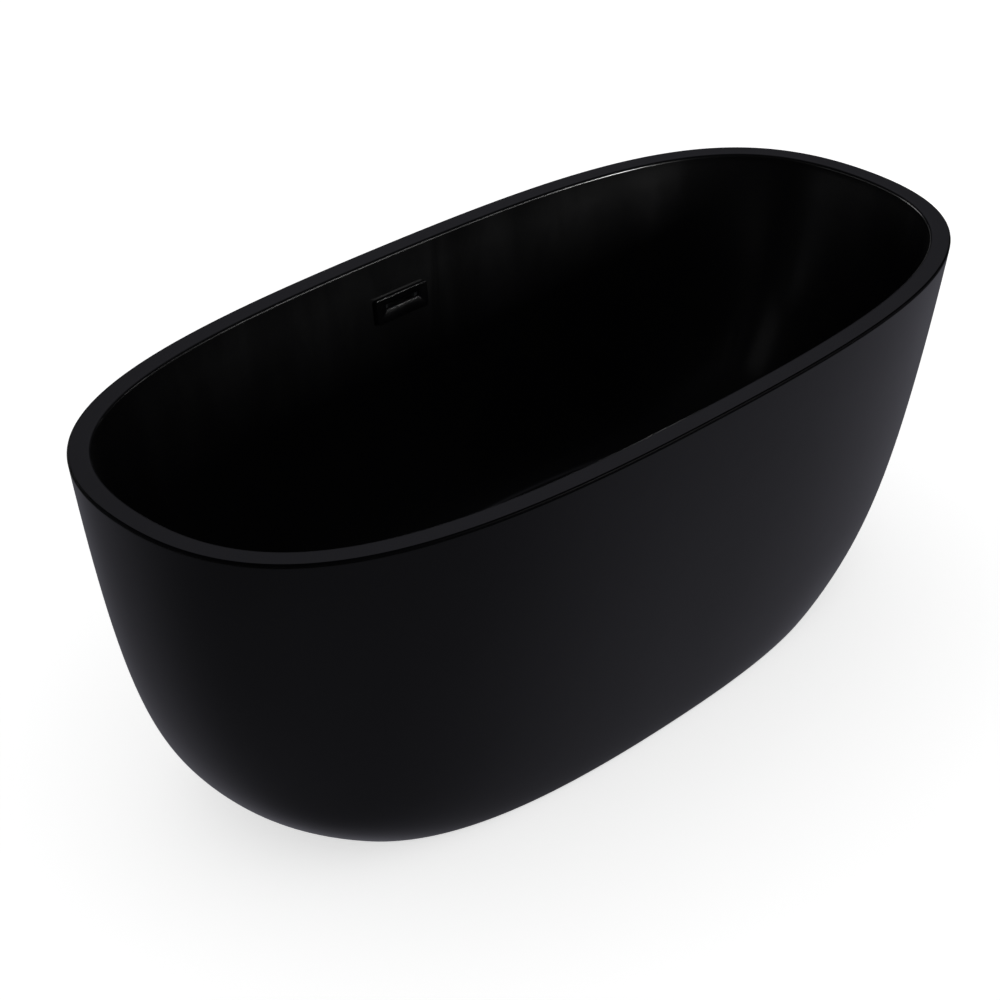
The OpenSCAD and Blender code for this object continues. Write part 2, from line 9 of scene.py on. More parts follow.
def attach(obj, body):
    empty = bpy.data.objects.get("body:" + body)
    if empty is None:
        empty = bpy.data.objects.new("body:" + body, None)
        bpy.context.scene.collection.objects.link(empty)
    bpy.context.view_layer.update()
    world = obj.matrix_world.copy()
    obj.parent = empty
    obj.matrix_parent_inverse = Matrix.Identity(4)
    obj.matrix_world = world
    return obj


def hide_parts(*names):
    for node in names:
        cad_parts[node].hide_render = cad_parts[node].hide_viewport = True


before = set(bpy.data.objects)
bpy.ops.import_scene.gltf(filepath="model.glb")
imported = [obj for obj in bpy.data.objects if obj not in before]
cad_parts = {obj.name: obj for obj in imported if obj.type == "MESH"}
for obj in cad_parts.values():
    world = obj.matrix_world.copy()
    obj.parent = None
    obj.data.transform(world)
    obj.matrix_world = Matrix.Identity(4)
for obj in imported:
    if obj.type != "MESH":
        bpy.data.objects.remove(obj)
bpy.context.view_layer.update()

MM = 0.001
TUB = "tub"

# ---------------------------------------------------------------- shape of the tub, in millimetres
HEIGHT, RIM_A, RIM_B, BASE_A, BASE_B = 580.0, 750.0, 350.0, 536.5, 262.0
RIM_FLAT, SHELL, RIM_THICK, SEAM = 32.0, 5.0, 4.0, 1.2
EDGE_OUTER, EDGE_INNER, TOP_FLANGE, FOOT_FLANGE, SKIRT_GAP = 2.0, 5.0, 20.0, 37.0, 5.0
FLOOR_BOTTOM, FLOOR_DRAIN, FLOOR_EDGE, FLOOR_A, FLOOR_B = 127.0, 134.0, 138.0, 445.0, 190.0
SEAT_R, SEAT_Z, HOLE_R = 36.0, 131.0, 25.0
RIM_UV, BASE_UV = np.array([0.603, 0.885]), np.array([0.668, 0.796])
ROUND_UV = np.array([0.5523, 0.5523])
SEAM_TOP = HEIGHT - RIM_THICK
SEAM_BOTTOM = SEAM_TOP - SEAM
WALL_TOP = HEIGHT - EDGE_INNER
QUARTER = 96


def bez(p, t):
    p, t = np.asarray(p, float), np.asarray(t, float)
    return np.stack([(1 - t) ** 3, 3 * (1 - t) ** 2 * t, 3 * (1 - t) * t * t, t ** 3], -1) @ p


def mix(p, q, t):
    return p * (1 - t) + q * t


END = np.array([[BASE_A, 0], [BASE_A + 0.605 * (RIM_A - BASE_A), 0.149 * HEIGHT],
                [RIM_A - 0.071 * HEIGHT, 0.26 * HEIGHT], [RIM_A, HEIGHT]])
SIDE = np.array([[BASE_B, 0], [BASE_B + 0.22 * (RIM_B - BASE_B), 0],
                 [RIM_B - 0.035 * HEIGHT, 0.646 * HEIGHT], [RIM_B, HEIGHT]])
WALL_Z = [WALL_TOP, 0.67 * WALL_TOP + 0.33 * FLOOR_EDGE, FLOOR_EDGE, FLOOR_EDGE]
WALL_A = [RIM_A - RIM_FLAT, RIM_A - RIM_FLAT - 26, RIM_A - RIM_FLAT - 103, FLOOR_A]
WALL_B = [RIM_B - RIM_FLAT, RIM_B - RIM_FLAT - 12, RIM_B - RIM_FLAT - 56, FLOOR_B]
steps = np.linspace(0, 1, 2001)
end_curve, side_curve = bez(END, steps), bez(SIDE, steps)


def half(curve, z):
    return float(np.interp(z, curve[:, 1], curve[:, 0]))


def outline(a, b, uv):
    s = np.arange(QUARTER) / QUARTER

    def arc(t):
        return np.stack([bez([a, a, uv[0] * a, 0], t), bez([0, uv[1] * b, b, b], t)], -1)
    p, r = arc(s), arc(1 - s)
    return np.concatenate([p, r * (-1, 1), -p, r * (1, -1)])


def moved(r, d):
    g = np.roll(r, -1, 0) - np.roll(r, 1, 0)
    return r + d * np.stack([g[:, 1], -g[:, 0]], -1) / np.linalg.norm(g, axis=1)[:, None]


def at_z(r, z):
    return np.column_stack([r, np.full(len(r), z)])


def outer_ring(z, d):
    uv = mix(BASE_UV, RIM_UV, z / HEIGHT)
    return at_z(moved(outline(half(end_curve, z), half(side_curve, z), uv), d), z)


def skirt_inner(z):
    def thick(c):
        return SHELL * math.hypot(1, (half(c, z + 4) - half(c, z - 4)) / 8)
    uv = mix(BASE_UV, RIM_UV, z / HEIGHT)
    return at_z(outline(half(end_curve, z) - thick(end_curve),
                        half(side_curve, z) - thick(side_curve), uv), z)


def wall_ring(t, d=0.0, dz=0.0):
    r = outline(bez(WALL_A, t) + RIM_FLAT, bez(WALL_B, t) + RIM_FLAT, mix(RIM_UV, BASE_UV, t))
    return at_z(moved(r, d - RIM_FLAT), bez(WALL_Z, t) - dz)


def floor_ring(q, z):
    r = outline(mix(FLOOR_A, SEAT_R, q) + RIM_FLAT, mix(FLOOR_B, SEAT_R, q) + RIM_FLAT,
                mix(BASE_UV, ROUND_UV, q))
    return at_z(moved(r, -RIM_FLAT), z)


def round_ring(r, z):
    return at_z(outline(r, r, ROUND_UV), z)


# ---------------------------------------------------------------- mesh helpers
def add_mesh(name, verts, faces, sharp=35.0, scale=MM):
    """A new smooth-shaded object from points in millimetres."""
    mesh = bpy.data.meshes.new(name)
    mesh.from_pydata((np.asarray(verts, float) * scale).tolist(), [], faces)
    mesh.validate()
    mesh.polygons.foreach_set("use_smooth", [True] * len(mesh.polygons))
    mesh.set_sharp_from_angle(angle=math.radians(sharp))
    obj = bpy.data.objects.new(name, mesh)
    bpy.context.scene.collection.objects.link(obj)
    return obj


def band_faces(m, n, loop):
    """Faces joining m rings of n points each, outwards for rings that climb a wall anticlockwise."""
    out = []
    for j in range(m if loop else m - 1):
        k = (j + 1) % m
        a, b = j * n, k * n
        out += [(a + i, a + (i + 1) % n, b + (i + 1) % n, b + i) for i in range(n)]
    return out


def band(name, rings, sharp=35.0):
    """A piece whose rings close on themselves both ways."""
    n = len(rings[0])
    return add_mesh(name, np.concatenate(rings), band_faces(len(rings), n, True), sharp)


def arc_points(cx, cz, r, a0, a1, n):
    """Points (offset, height) of an arc about (cx, cz), angles in degrees from the +offset axis."""
    a = np.radians(np.linspace(a0, a1, n))
    return [(cx + r * math.cos(x), cz + r * math.sin(x)) for x in a]


def cut(obj, cutters):
    """Subtracts the cutters, which are removed afterwards."""
    for c in cutters:
        m = obj.modifiers.new("cut", "BOOLEAN")
        m.operation, m.solver, m.object = "DIFFERENCE", "EXACT", c
    dg = bpy.context.evaluated_depsgraph_get()
    mesh = bpy.data.meshes.new_from_object(obj.evaluated_get(dg), preserve_all_data_layers=True,
                                           depsgraph=dg)
    obj.modifiers.clear()
    old, obj.data = obj.data, mesh
    bpy.data.meshes.remove(old)
    for c in cutters:
        data = c.data
        bpy.data.objects.remove(c)
        bpy.data.meshes.remove(data)


# ---------------------------------------------------------------- basin
def make_basin():
    rings = [outer_ring(SEAM_TOP, -RIM_FLAT + SHELL + 3), outer_ring(SEAM_TOP, -12)]
    low = arc_points(-0.6, SEAM_TOP + 0.4, 0.4, -90, 0, 4)
    high = [(EDGE_OUTER * 1.6 * (x - 1), SEAM_TOP + 0.6 + (RIM_THICK - 0.6) * z)
            for x, z in arc_points(0, 0, 1, 8, 90, 10)]
    rings += [outer_ring(z, d) for d, z in low + high[:-1]]
    rim = outline(RIM_A, RIM_B, RIM_UV)
    rings += [at_z(moved(rim, -d), HEIGHT) for d in (EDGE_OUTER * 1.6, 6, 12, 18, 24)]
    inner = arc_points(-RIM_FLAT + EDGE_INNER, WALL_TOP, EDGE_INNER, 90, 172, 12)
    rings += [at_z(moved(rim, d), z) for d, z in inner]
    rings += [wall_ring(t) for t in np.linspace(0, 1, 72) ** 0.92]
    rings += [floor_ring(q, mix(FLOOR_EDGE, FLOOR_DRAIN, q)) for q in np.linspace(0, 1, 12)[1:-1]]
    rings += [round_ring(r, z) for r, z in ((SEAT_R + 1.2, FLOOR_DRAIN), (SEAT_R + 0.35, 133.75),
                                            (SEAT_R, 133.2), (SEAT_R, SEAT_Z), (HOLE_R, SEAT_Z))]
    face_side = len(rings)
    rings += [round_ring(HOLE_R, FLOOR_BOTTOM)]
    rings += [floor_ring(q, FLOOR_BOTTOM) for q in (0.8, 0.6, 0.4, 0.2, 0)]
    for t in np.linspace(1, 0, 40)[1:-1]:
        dz = SHELL * t ** 1.5 + (FLOOR_EDGE - FLOOR_BOTTOM - SHELL) * t ** 4
        rings.append(wall_ring(t, SHELL * math.sqrt(1 - t ** 3), dz))
    rings.append(wall_ring(0, SHELL, 2))
    n = len(rings[0])
    obj = add_mesh("basin_shell", np.concatenate(rings), band_faces(len(rings), n, True), 30)
    back = np.zeros(len(obj.data.polygons), np.int32)
    back[(face_side - 1) * n:] = 1
    back[:n] = 0
    back[n:(len(low) + len(high)) * n] = 2    # material slots: 0 face, 1 resin, 2 dull outer lip
    return obj, back


def wall_frame():
    """Origin on the basin's wall behind the overflow, local Y out of the wall, local Z up it."""
    ts = np.linspace(0, 1, 4001)
    z = bez(WALL_Z, ts)
    t = float(np.interp(-498.0, -z, ts))
    y, dy = float(bez(WALL_B, t)), float(bez(WALL_B, t) - bez(WALL_B, t + 0.01))
    dz = 498.0 - float(bez(WALL_Z, t + 0.01))
    tilt = math.atan2(dy, dz)
    return y, Matrix.Translation((0, y * MM, 0.498)) @ Matrix.Rotation(-tilt, 4, "X")


def make_skirt():
    foot = arc_points(-1.2, SKIRT_GAP + 1.2, 1.2, -90, 0, 5)
    top = arc_points(-0.5, SEAM_BOTTOM - 0.5, 0.5, 0, 90, 4)
    rings = [outer_ring(z, d) for d, z in foot]
    rings += [outer_ring(z, 0) for z in np.linspace(7.5, SEAM_BOTTOM - 2, 84)]
    rings += [outer_ring(z, d) for d, z in top]
    face_side = len(rings)
    rings += [outer_ring(SEAM_BOTTOM, -TOP_FLANGE), outer_ring(SEAM_BOTTOM - SHELL, -TOP_FLANGE)]
    rings += [skirt_inner(z) for z in np.linspace(SEAM_BOTTOM - SHELL, SKIRT_GAP + SHELL, 44)]
    rings += [outer_ring(SKIRT_GAP + SHELL, -FOOT_FLANGE), outer_ring(SKIRT_GAP, -FOOT_FLANGE)]
    n = len(rings[0])
    obj = add_mesh("skirt_shell", np.concatenate(rings), band_faces(len(rings), n, True), 30)
    back = np.zeros(len(obj.data.polygons), np.int32)
    back[face_side * n:-2 * n] = 1
    return obj, back


WALL_Y, on_wall = wall_frame()
basin, basin_back = make_basin()
skirt, skirt_back = make_skirt()


# ---------------------------------------------------------------- materials
class Shader:
    """One procedural material on a Principled shader, in object coordinates (metres)."""

    def __init__(self, name, color, rough, metal=0.0, **sockets):
        self.mat = bpy.data.materials.new(name)
        self.mat.use_nodes = True
        self.nodes, self.links = self.mat.node_tree.nodes, self.mat.node_tree.links
        self.bsdf = self.nodes["Principled BSDF"]
        self.put("Base Color", (*color, 1.0))
        self.put("Roughness", rough)
        self.put("Metallic", metal)
        for key, value in sockets.items():
            self.put(key.replace("_", " "), value)
        self.height = None

    def put(self, socket, value):
        if hasattr(value, "links") or hasattr(value, "is_output"):
            self.links.new(value, self.bsdf.inputs[socket])
        else:
            self.bsdf.inputs[socket].default_value = value

    def node(self, kind, settings=(), **inputs):
        n = self.nodes.new("ShaderNode" + kind)
        for key, value in dict(settings).items():
            setattr(n, key, value)
        for key, value in inputs.items():
            socket = n.inputs[int(key[1:])] if key[0] == "i" and key[1:].isdigit() else n.inputs[key]
            if hasattr(value, "is_output"):
                self.links.new(value, socket)
            else:
                socket.default_value = value
        return n

    def place(self, stretch=(1, 1, 1), turn=(0, 0, 0)):
        c = self.node("TexCoord").outputs["Object"]
        return self.node("Mapping", Vector=c, Scale=stretch, Rotation=turn).outputs[0]

    def noise(self, scale, detail=3.0, stretch=(1, 1, 1), turn=(0, 0, 0), warp=0.0):
        return self.node("TexNoise", Vector=self.place(stretch, turn), Scale=scale, Detail=detail,
                         Distortion=warp).outputs["Fac"]

    def cells(self, scale, feature="F1", out="Distance", stretch=(1, 1, 1)):
        return self.node("TexVoronoi", {"feature": feature}, Vector=self.place(stretch),
                         Scale=scale).outputs[out]

    def remap(self, value, a, b, lo=0.0, hi=1.0):
        return self.node("MapRange", Value=value, i1=lo, i2=hi, i3=a, i4=b).outputs[0]

    def colors(self, value, *stops):
        r = self.node("ValToRGB", Fac=value)
        e = r.color_ramp.elements
        while len(e) < len(stops):
            e.new(0.5)
        for el, (pos, col) in zip(e, stops):
            el.position, el.color = pos, (*col, 1.0)
        return r.outputs[0]

    def bump(self, height, distance, strength=1.0):
        """Adds a height, in metres of relief, on top of the bumps already there."""
        b = self.node("Bump", Height=height, Distance=distance, Strength=strength)
        if self.height:
            self.links.new(self.height, b.inputs["Normal"])
        self.height = b.outputs[0]
        self.links.new(self.height, self.bsdf.inputs["Normal"])
        return self


def gloss_acrylic(name="gloss_acrylic", smooth=0.19, rough=0.25, shine=0.5):
    """Polished acrylic, its roughness drifting between smooth and rough."""
    s = Shader(name, (0.0011, 0.0011, 0.0014), 0.1, Specular_IOR_Level=shine)
    s.put("Base Color", s.colors(s.noise(4, 2), (0.3, (0.0009, 0.0009, 0.0012)),
                                 (0.7, (0.0014, 0.0014, 0.0018))))
    smear = s.noise(7, 5, (1, 1, 0.35), warp=1.5)
    fine = s.noise(900, 2, (1, 1, 0.08))
    patchy = s.remap(smear, smooth, rough, 0.3, 0.75)
    s.put("Roughness", s.node("Math", {"operation": "ADD"}, i0=patchy,
                              i1=s.remap(fine, -0.012, 0.012)).outputs[0])
    s.bump(s.noise(16, 2), 0.0009, 0.35)
    return s.bump(s.noise(420, 2), 0.000006, 0.25).mat


def satin_acrylic():
    s = Shader("satin_acrylic", (0.001, 0.001, 0.0013), 0.4)
    cloud = s.noise(3.2, 4, warp=0.6)
    s.put("Base Color", s.colors(cloud, (0.3, (0.0007, 0.0007, 0.001)),
                                 (0.72, (0.0012, 0.0012, 0.0016))))
    s.put("Roughness", s.remap(cloud, 0.31, 0.37, 0.3, 0.72))
    s.bump(s.noise(24, 2), 0.0006, 0.2)
    return s.bump(s.noise(1300, 2), 0.00006, 0.35).mat


def resin_back():
    s = Shader("resin_back", (0.03, 0.032, 0.034), 0.5)
    strands = s.noise(160, 5, (1, 1, 1), warp=2.2)
    s.put("Base Color", s.colors(strands, (0.35, (0.014, 0.015, 0.016)), (0.7, (0.05, 0.053, 0.056))))
    s.put("Roughness", s.remap(strands, 0.35, 0.7))
    s.bump(strands, 0.0012, 0.8)
    return s.bump(s.noise(28, 2), 0.002, 0.5).mat


def times(color, k):
    return tuple(c * k for c in color)


def rubber(name, color, rough=0.62, grain=700):
    s = Shader(name, color, rough)
    n = s.noise(60, 4)
    s.put("Base Color", s.colors(n, (0.3, times(color, 0.7)), (0.7, times(color, 1.5))))
    s.put("Roughness", s.remap(n, rough - 0.08, rough + 0.1))
    return s.bump(s.noise(grain, 3), 0.00008, 0.6).mat


def moulded(name, color, rough=0.42, grain=520):
    s = Shader(name, color, rough)
    flow = s.noise(18, 3, (1, 1, 0.4), warp=0.8)
    s.put("Base Color", s.colors(flow, (0.3, times(color, 0.82)), (0.7, times(color, 1.25))))
    s.put("Roughness", s.remap(flow, rough - 0.05, rough + 0.08))
    return s.bump(s.cells(grain), 0.00006, 0.5).mat


def metal(name, color, rough, streak=(1, 1, 30), scale=300, relief=0.00003, tint=None, full=1.0):
    """Metal with fine streaks across its grain, faint stains and, if asked, a second tint."""
    s = Shader(name, color, rough, full)
    lines = s.noise(scale, 3, streak)
    stain = s.noise(25, 4, warp=1.0)
    s.put("Base Color", s.colors(stain, (0.3, times(color, 0.86)), (0.7, tint or color)))
    mixed = s.node("Math", {"operation": "MULTIPLY_ADD"}, i0=lines, i1=0.35, i2=stain).outputs[0]
    s.put("Roughness", s.remap(mixed, rough * 0.75, rough * 1.3, 0.35, 1.0))
    return s.bump(lines, relief, 0.5).mat


def galvanised():
    s = Shader("galvanised", (0.5, 0.52, 0.54), 0.42, 0.6)
    spangle = s.cells(85, out="Color")
    grey = s.node("SeparateColor", Color=spangle).outputs[0]
    s.put("Base Color", s.colors(grey, (0.0, (0.42, 0.44, 0.46)), (0.5, (0.52, 0.54, 0.56)),
                                 (1.0, (0.64, 0.66, 0.68))))
    s.put("Roughness", s.remap(grey, 0.3, 0.52))
    s.bump(s.cells(85, "DISTANCE_TO_EDGE"), 0.00005, 0.25)
    return s.bump(s.noise(600, 2), 0.00003, 0.3).mat


def plywood():
    """Face veneer with grain along X, and plies of alternating grain on the cut edge."""
    s = Shader("plywood", (0.5, 0.35, 0.2), 0.6)
    grain = s.noise(9, 6, (1.2, 22, 22), warp=0.9)
    face = s.colors(grain, (0.25, (0.36, 0.235, 0.125)), (0.5, (0.56, 0.41, 0.25)),
                    (0.75, (0.68, 0.53, 0.35)))
    z = s.node("SeparateXYZ", Vector=s.node("TexCoord").outputs["Object"]).outputs["Z"]
    ply = s.node("Math", {"operation": "PINGPONG"}, i0=z, i1=0.002).outputs[0]
    layer = s.colors(s.remap(ply, 0, 1, 0.0009, 0.0011), (0.0, (0.27, 0.17, 0.09)),
                     (1.0, (0.62, 0.46, 0.29)))
    up = s.node("SeparateXYZ", Vector=s.node("NewGeometry").outputs["Normal"]).outputs["Z"]
    flat = s.node("Math", {"operation": "ABSOLUTE"}, i0=up).outputs[0]
    edge = s.node("Mix", {"data_type": "RGBA"}, Factor=s.remap(flat, 0, 1, 0.4, 0.6))
    s.links.new(layer, edge.inputs[6])
    s.links.new(face, edge.inputs[7])
    s.put("Base Color", edge.outputs[2])
    s.put("Roughness", s.remap(grain, 0.5, 0.72))
    return s.bump(grain, 0.0003, 0.5).bump(s.noise(900, 3, (1, 8, 8)), 0.0001, 0.4).mat


LOOKS = {
    "gloss_acrylic": gloss_acrylic(),
    "satin_acrylic": satin_acrylic(),
    "sealant": rubber("sealant", (0.0016, 0.0016, 0.0018), 0.5),
    "board": plywood(),
    "frame_steel": galvanised(),
    "bracket_steel": metal("bracket_steel", (0.6, 0.61, 0.6), 0.34, (30, 1, 1),
                           tint=(0.66, 0.63, 0.5), full=0.7),
    "fasteners": metal("fasteners", (0.66, 0.67, 0.68), 0.27, (1, 1, 8), 500, full=0.75),
    "stud_steel": metal("stud_steel", (0.58, 0.59, 0.61), 0.3, (1, 1, 12), 420, full=0.75),
    "foot_plastic": moulded("foot_plastic", (0.03, 0.031, 0.033)),
    "sole_rubber": rubber("sole_rubber", (0.012, 0.012, 0.012), 0.75),
    "polished_metal": metal("polished_metal", (0.8, 0.81, 0.83), 0.07, (1, 1, 1), 900, 0.000002),
    "seal_rubber": rubber("seal_rubber", (0.008, 0.008, 0.008), 0.5),
    "pipe_plastic": moulded("pipe_plastic", (0.035, 0.037, 0.04), 0.38),
    "outlet_metal": metal("outlet_metal", (0.72, 0.73, 0.75), 0.16, (1, 1, 40), 200, 0.00001),
    "stem_steel": metal("stem_steel", (0.6, 0.61, 0.63), 0.22, (1, 1, 60), 120),
    "barrel_brass": metal("barrel_brass", (0.7, 0.52, 0.22), 0.25, (1, 1, 60), 120,
                          tint=(0.58, 0.4, 0.16)),
    "cover_plastic": moulded("cover_plastic", (0.0022, 0.0022, 0.0026), 0.12, 2400),
    "hose_plastic": moulded("hose_plastic", (0.055, 0.058, 0.062), 0.45),
    "clamp_steel": metal("clamp_steel", (0.64, 0.65, 0.67), 0.24, (30, 30, 1), 300),
}
RESIN = resin_back()
# The rim's rolled outer edge, dulled so that the softbox over the inside draws no line along it.
DULL_LIP = gloss_acrylic("dull_lip", 0.4, 0.48, 0.02)
WELD = metal("weld_steel", (0.3, 0.3, 0.32), 0.45, (1, 1, 1), 260, 0.0002, (0.4, 0.33, 0.24))


def dress(obj, slot, body=TUB, *nodes, extra=()):
    """Material of the given slot, body and the CAD nodes that a new piece stands for."""
    for m in (LOOKS[slot], *extra):
        obj.data.materials.append(m)
    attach(obj, body)
    if nodes:
        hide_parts(*nodes)
    return obj


# ---------------------------------------------------------------- turned and hexagonal pieces
def turned(levels, segs=48, loop=False):
    """Vertices and faces of rings (height, radius) about Z; a radius may be a function of angle."""
    a = np.arange(segs) * 2 * math.pi / segs
    rings = []
    for z, r in levels:
        r = r(a) if callable(r) else np.full(segs, float(r))
        rings.append(np.column_stack([r * np.cos(a), r * np.sin(a), np.full(segs, float(z))]))
    verts = np.concatenate(rings)
    faces = band_faces(len(rings), segs, loop)
    if not loop:
        top, n = len(verts), len(rings)
        verts = np.vstack([verts, [0, 0, levels[0][0]], [0, 0, levels[-1][0]]])
        for i in range(segs):
            k = (i + 1) % segs
            faces.append((top, k, i))
            faces.append((top + 1, (n - 1) * segs + i, (n - 1) * segs + k))
    return verts, faces


def rounded_profile(pts, r, k=5, loop=True):
    """The same corner points with each corner rounded off."""
    pts = [np.array(p, float) for p in pts]
    out = []
    for i, p in enumerate(pts):
        if not loop and i in (0, len(pts) - 1):
            out.append(tuple(p))
            continue
        a, b = pts[i - 1] - p, pts[(i + 1) % len(pts)] - p
        la, lb = np.linalg.norm(a), np.linalg.norm(b)
        d = min(r, 0.45 * la, 0.45 * lb)
        q0, q1 = p + a / la * d, p + b / lb * d
        for t in np.linspace(0, 1, k):
            out.append(tuple((1 - t) ** 2 * q0 + 2 * t * (1 - t) * p + t * t * q1))
    return out


def hexagon(circ, ease=0.0):
    """Radius of a hexagon with corners at circ, as a function of angle, its corners eased."""
    def r(a):
        flat = circ * math.cos(math.pi / 6) / np.cos((a % (math.pi / 3)) - math.pi / 6)
        return np.minimum(flat, circ - ease)
    return r


def clipped(shape, limit):
    return lambda a: np.minimum(shape(a), limit)


def hex_levels(circ, z0, z1, top=True, bottom=True):
    """Heights and radii of a hexagon with chamfered faces."""
    shape, inner = hexagon(circ, 0.15), circ * 0.87
    rise = ((0, inner), (0.35, inner + 0.6), (0.8, inner + 1.4))
    low = [(z0 + t, clipped(shape, r)) for t, r in rise] if bottom else [(z0, shape)]
    high = [(z1 - t, clipped(shape, r)) for t, r in rise[::-1]] if top else [(z1, shape)]
    return low + high


def put_together(name, parts, sharp=32.0):
    """One mesh from [(vertices, faces, matrix in millimetres or None)]."""
    verts, faces, first = [], [], 0
    for v, f, m in parts:
        v = np.asarray(v, float)
        if m is not None:
            m = np.array(m)
            v = v @ m[:3, :3].T + m[:3, 3]
        flip = m is not None and np.linalg.det(m[:3, :3]) < 0
        faces += [tuple(first + i for i in (q[::-1] if flip else q)) for q in f]
        verts.append(v)
        first += len(v)
    return add_mesh(name, np.concatenate(verts), faces, sharp)


def shift(x, y, z=0.0):
    return Matrix.Translation((x, y, z))


def turn(axis, degrees):
    return Matrix.Rotation(math.radians(degrees), 4, axis)


def tube_along(points, radii, sides, first_normal=(1, 0, 0)):
    """A closed tube along points, whose section keeps first_normal as one axis (a planar route)."""
    p = np.asarray(points, float)
    t = np.gradient(p, axis=0)
    t /= np.linalg.norm(t, axis=1)[:, None]
    u = np.tile(np.array(first_normal, float), (len(p), 1))
    v = np.cross(t, u)
    a = np.arange(sides) * 2 * math.pi / sides
    ring = (np.cos(a)[None, :, None] * u[:, None] + np.sin(a)[None, :, None] * v[:, None])
    verts = (p[:, None] + ring * np.asarray(radii, float)[:, None, None]).reshape(-1, 3)
    faces = band_faces(len(p), sides, False)
    verts = np.vstack([verts, p[0], p[-1]])
    c, last = len(verts) - 2, (len(p) - 1) * sides
    for i in range(sides):
        k = (i + 1) % sides
        faces += [(c, k, i), (c + 1, last + i, last + k)]
    return verts, faces


# ---------------------------------------------------------------- shells and seam
dress(basin, "gloss_acrylic", TUB, "basin", extra=(RESIN, DULL_LIP))
dress(skirt, "satin_acrylic", TUB, "skirt", extra=(RESIN,))
basin.data.polygons.foreach_set("material_index", basin_back)
skirt.data.polygons.foreach_set("material_index", skirt_back)


def box_cutter(w, d, h, x=0.0, y=0.0, z=0.0, place=None):
    c = np.array([(i, j, k) for i in (-0.5, 0.5) for j in (-0.5, 0.5) for k in (-0.5, 0.5)])
    f = [(0, 1, 3, 2), (4, 6, 7, 5), (0, 4, 5, 1), (2, 3, 7, 6), (0, 2, 6, 4), (1, 5, 7, 3)]
    o = add_mesh("cutter", c * (w, d, h) + (x, y, z), f)
    o.data.transform(place or Matrix())
    return o


def round_cutter(r, z0, z1, place):
    o = add_mesh("cutter", *turned([(z0, r), (z1, r)], 24))
    o.data.transform(place)
    return o


WALL_HOLE = [box_cutter(60, 21, 22, y=2.5, z=4, place=on_wall)]
WALL_HOLE += [round_cutter(2.2, -8, 13, on_wall @ shift(x * MM, 0, 0.004) @ turn("X", -90))
              for x in (-38, 38)]
cut(basin, WALL_HOLE)

seam = band("seam_bead", [outer_ring(z, d) for z, d in (
    (SEAM_BOTTOM, -0.8), (SEAM_BOTTOM + 0.2, -1.3), (SEAM_TOP - 0.2, -1.3), (SEAM_TOP, -0.8),
    (SEAM_TOP, 1 - TOP_FLANGE), (SEAM_BOTTOM, 1 - TOP_FLANGE))])
dress(seam, "sealant", TUB, "rim_seam")


# ---------------------------------------------------------------- overflow cover
def rounded_rect(w, h, r, z=0.0, k=7):
    """Points (x, z) of a rectangle with round corners, anticlockwise seen from +Y."""
    out = []
    for cx, cz, a0 in ((-1, 1, 90), (-1, -1, 180), (1, -1, 270), (1, 1, 0)):
        for a in np.radians(np.linspace(a0, a0 + 90, k)):
            out.append((cx * (w / 2 - r) + r * math.cos(a), z + cz * (h / 2 - r) + r * math.sin(a)))
    return np.array(out)


def make_cover():
    def ring(w, h, r, y, z=0.0):
        p = rounded_rect(w, h, r, z)
        return np.column_stack([p[:, 0], np.full(len(p), y), p[:, 1]])
    rings = [ring(104, 40, 3, -0.8)]
    for d, y in arc_points(-1.3, -5.7, 1.3, 0, -90, 7):
        rings.append(ring(104 + 2 * d, 40 + 2 * d, 3 + d, y))
    for grow, y in ((1.2, -7), (0.6, -6.85), (0.3, -6.6)):
        rings.append(ring(66 + grow, 8.4 + grow, 1 + grow / 2, y, 4.8))
    rings += [ring(66, 7, 1, -4.6, 5.5), ring(66, 7, 1, -3.3, 5.5),
              ring(68, 9.4, 2, -3.3, 5.3), ring(68, 10.8, 2, -5, 4.6),
              ring(100, 36, 1.5, -5), ring(100, 36, 1.5, -0.8)]
    obj = band("overflow_plate", rings, sharp=28)
    obj.data.transform(on_wall)
    return obj


dress(make_cover(), "cover_plastic", TUB, "overflow_cover")


# ---------------------------------------------------------------- drain and plug
def profile(points, r=0.6, loop=True):
    """(height, radius) levels from (radius, height) corners."""
    return [(z, x) for x, z in rounded_profile(points, r, loop=loop)]


FLANGE = [(20, 86), (24, 86), (24, 132.5), (35, 132.5), (35, 133.9), (33.5, 135.1), (31, 135.5),
          (25, 135.2), (22, 133.6), (20, 131)]
parts = [(*turned(profile(FLANGE, 0.8), 128, True), None)]
for a in (0, 90, 180, 270):
    bar = rounded_rect(18.6, 3, 0.8)
    rows = [np.column_stack([bar[:, 0] + 11.6, bar[:, 1], np.full(len(bar), z)])
            for z in (90, 90.4, 95.6, 96)]
    rows[0][:, 1] *= 0.8
    rows[-1][:, 1] *= 0.8
    cap = [tuple(range(len(bar)))[::-1], tuple(3 * len(bar) + i for i in range(len(bar)))]
    parts.append((np.concatenate(rows), band_faces(4, len(bar), False) + cap, turn("Z", a)))
dress(put_together("drain_ring", parts), "polished_metal", TUB, "drain_flange")

CAP = [(0.01, 139), (25, 139), (28, 137), (31, 137), (31.5, 138.2), (30.6, 139.9), (27, 141.4),
       (20, 142.6), (10, 143.3), (0.01, 143.5)]
dress(put_together("plug_dome", [(*turned(profile(CAP, 1.6, False), 128), None)], 50),
      "polished_metal", "plug", "plug_cap")
LIP = [(19, 132.3), (20.2, 132.3), (22.4, 133.6), (24, 135.2), (23.2, 136.2), (24.4, 137.2),
       (23.6, 138.1), (24.4, 139), (19, 139)]
dress(put_together("plug_washer", [(*turned(profile(LIP, 0.35), 96, True), None)], 60),
      "seal_rubber", "plug", "plug_seal")


